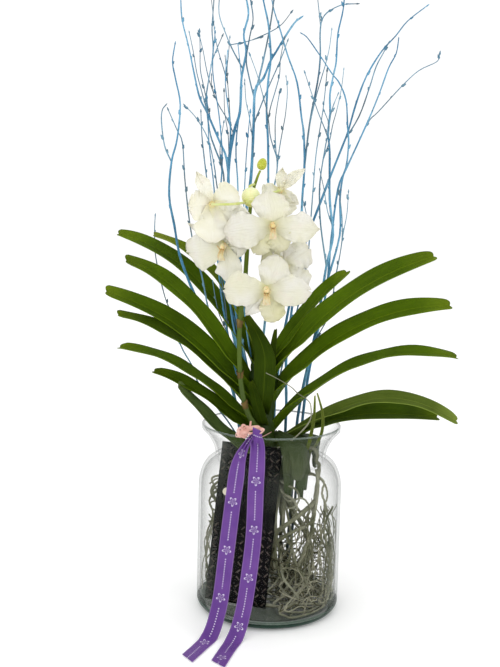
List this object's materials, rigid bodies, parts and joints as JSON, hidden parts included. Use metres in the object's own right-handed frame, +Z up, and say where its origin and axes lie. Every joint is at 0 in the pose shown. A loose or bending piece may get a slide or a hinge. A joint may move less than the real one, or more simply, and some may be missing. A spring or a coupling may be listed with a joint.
{
  "type": "vanda orchid in glass vase",
  "caption": "White vanda orchid with strap leaves and bare roots in a clear flared glass vase, with blue birch twigs, a dark card and purple satin ribbon tails.",
  "frame": {"origin": "centre of the vase's bottom face", "axes": "+Z up along the vase's axis; -Y is the front, where the ribbon and the card are; +X is to the viewer's right"},
  "size_m": [0.4719, 0.3465, 0.8741],
  "materials": {
    "vase_glass": "clear, faint grey-green, polished",
    "card_print": "near-black satin print",
    "purple_satin": "purple satin weave",
    "pink_raffia": "salmon-pink raffia",
    "blue_paint": "blue painted birch twigs",
    "lip_cream": "soft cream-yellow flower tissue",
    "petal_white": "soft white flower tissue",
    "bud_green": "yellow-green plant tissue",
    "spike_green": "green stalk with brown bracts",
    "root_grey": "matt grey-green roots",
    "leaf_green": "satin dark green leaf"
  },
  "bodies": {
    "root": {"aerial_root": "root_grey", "birch_branch_back": "blue_paint", "birch_branch_centre": "blue_paint", "birch_branch_left": "blue_paint", "birch_branch_left_back": "blue_paint", "birch_branch_right": "blue_paint", "birch_branch_right_back": "blue_paint", "birch_branch_right_centre": "blue_paint", "birch_branch_right_front": "blue_paint", "bloom_1": "petal_white", "bloom_1_lip": "lip_cream", "bloom_2": "petal_white", "bloom_2_lip": "lip_cream", "bloom_3": "petal_white", "bloom_3_lip": "lip_cream", "bloom_4": "petal_white", "bloom_4_lip": "lip_cream", "bloom_5": "petal_white", "bloom_5_lip": "lip_cream", "bloom_6": "petal_white", "bloom_6_lip": "lip_cream", "flower_spike": "spike_green", "gift_card": "card_print", "glass_vase": "vase_glass", "large_bud": "bud_green", "leaf_centre_1": "leaf_green", "leaf_centre_2": "leaf_green", "leaf_centre_3": "leaf_green", "leaf_left_1": "leaf_green", "leaf_left_2": "leaf_green", "leaf_left_3": "leaf_green", "leaf_left_4": "leaf_green", "leaf_left_5": "leaf_green", "leaf_left_6": "leaf_green", "leaf_left_7": "leaf_green", "leaf_right_1": "leaf_green", "leaf_right_2": "leaf_green", "leaf_right_3": "leaf_green", "leaf_right_4": "leaf_green", "leaf_right_5": "leaf_green", "leaf_right_6": "leaf_green", "narrow_blade_1": "bud_green", "narrow_blade_2": "bud_green", "raffia_tie": "pink_raffia", "roots": "root_grey", "satin_ribbon": "purple_satin", "small_bud": "bud_green", "stem": "leaf_green"}
  },
  "joints": []
}
